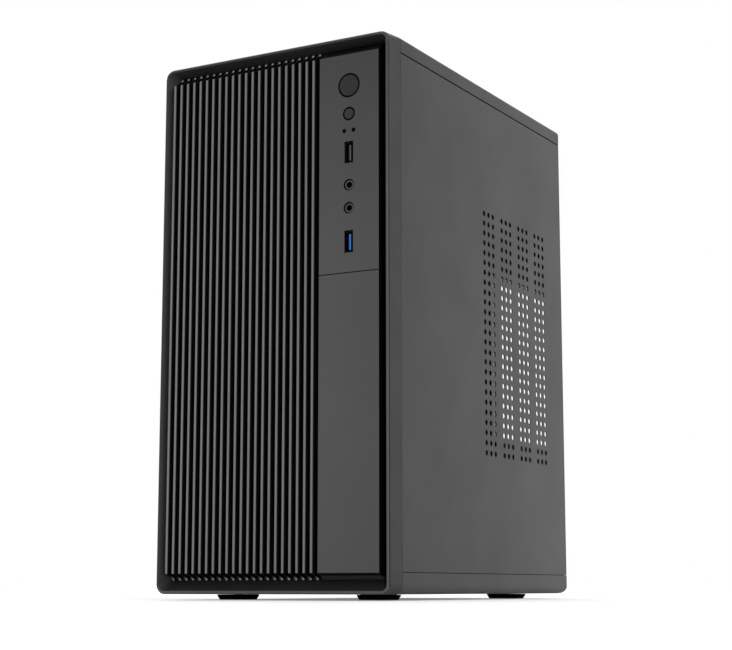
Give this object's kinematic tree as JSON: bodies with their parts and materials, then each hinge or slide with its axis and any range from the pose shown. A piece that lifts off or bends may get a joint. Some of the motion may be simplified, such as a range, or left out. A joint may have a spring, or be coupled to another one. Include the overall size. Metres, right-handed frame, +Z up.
{
  "type": "desktop computer tower",
  "caption": "Micro-ATX mini tower with a ribbed plastic front, side port strip, vented steel side panels, power supply, fans and an open board bay.",
  "frame": {"origin": "centre of the footprint of the whole part, on the plane of the feet", "axes": "+Z up; the ribbed front faces -Y; +X is the motherboard-tray side, which is on the right when facing the front"},
  "size_m": [0.1724, 0.2794, 0.3535],
  "materials": {
    "coated_steel": "textured grey-black powder coat",
    "black_steel": "satin black paint inside and out",
    "bezel_plastic": "fine-grained moulded plastic, charcoal",
    "rib_plastic": "satin crests with black grooves",
    "strip_plastic": "fine-grained moulded plastic, grey-black",
    "button_plastic": "satin moulded plastic",
    "plating": "bright zinc and nickel plating",
    "insulator": "grey connector plastic",
    "blue_insulator": "blue connector plastic",
    "socket_plastic": "black connector plastic",
    "board": "green solder mask",
    "lens": "smoked light pipe",
    "fan_plastic": "glass-filled black plastic",
    "supply_steel": "bare galvanised sheet",
    "rubber": "matt black"
  },
  "bodies": {
    "chassis": {"front_bezel": "bezel_plastic", "grille_insert": "rib_plastic", "io_fascia": "strip_plastic", "blank_fascia": "strip_plastic", "power_switch": "socket_plastic", "reset_switch": "socket_plastic", "switch_board": "board", "power_light": "lens", "drive_light": "lens", "usb2_shell": "plating", "usb2_tongue": "insulator", "usb3_shell": "plating", "usb3_tongue": "blue_insulator", "upper_audio_jack": "socket_plastic", "lower_audio_jack": "socket_plastic", "io_board": "board", "chassis_base": "coated_steel", "top_cover": "coated_steel", "front_frame": "black_steel", "rear_panel": "black_steel", "motherboard_tray": "black_steel", "right_front_foot": "rubber", "right_rear_foot": "rubber", "left_front_foot": "rubber", "left_rear_foot": "rubber", "rear_fan_frame": "fan_plastic", "supply_case": "supply_steel", "supply_cover": "supply_steel", "mains_inlet": "socket_plastic", "supply_switch_frame": "socket_plastic", "supply_fan_frame": "fan_plastic", "supply_fan_guard": "plating", "supply_shelf": "black_steel", "slot_cover_1": "plating", "slot_cover_2": "plating", "slot_cover_3": "plating", "slot_cover_4": "plating", "drive_cage": "black_steel", "slim_drive_bracket": "black_steel"},
    "power_button": {"power_button": "button_plastic", "power_plunger": "insulator"},
    "reset_button": {"reset_button": "button_plastic", "reset_plunger": "insulator"},
    "right_panel": {"right_side_panel": "coated_steel", "right_lower_thumbscrew": "plating", "right_upper_thumbscrew": "plating"},
    "left_panel": {"left_side_panel": "coated_steel", "left_lower_thumbscrew": "plating", "left_upper_thumbscrew": "plating"},
    "rear_fan": {"rear_fan_rotor": "fan_plastic"},
    "supply_fan": {"supply_fan_rotor": "fan_plastic"},
    "supply_rocker": {"supply_rocker": "button_plastic"}
  },
  "joints": [
    {"name": "power_press", "type": "slide", "parent": "chassis", "child": "power_button", "axis": [0, 1, 0], "range_m": [0, 0.0015], "stiffness_N_per_m": 900, "springref_m": -0.001},
    {"name": "reset_press", "type": "slide", "parent": "chassis", "child": "reset_button", "axis": [0, 1, 0], "range_m": [0, 0.001], "stiffness_N_per_m": 900, "springref_m": -0.001},
    {"name": "right_panel_slide", "type": "slide", "parent": "chassis", "child": "right_panel", "axis": [0, 1, 0], "range_m": [0, 0.018]},
    {"name": "left_panel_slide", "type": "slide", "parent": "chassis", "child": "left_panel", "axis": [0, 1, 0], "range_m": [0, 0.018]},
    {"name": "rear_fan_spin", "type": "hinge", "parent": "chassis", "child": "rear_fan", "pos_m": [-0.028, 0.11535, 0.2085], "axis": [0, 1, 0], "continuous": true},
    {"name": "supply_fan_spin", "type": "hinge", "parent": "chassis", "child": "supply_fan", "pos_m": [0, 0.05815, 0.2755], "axis": [0, 0, 1], "continuous": true},
    {"name": "supply_rocker_tilt", "type": "hinge", "parent": "chassis", "child": "supply_rocker", "pos_m": [0.016, 0.12815, 0.3035], "axis": [1, 0, 0], "range_deg": [-18, 0]}
  ]
}
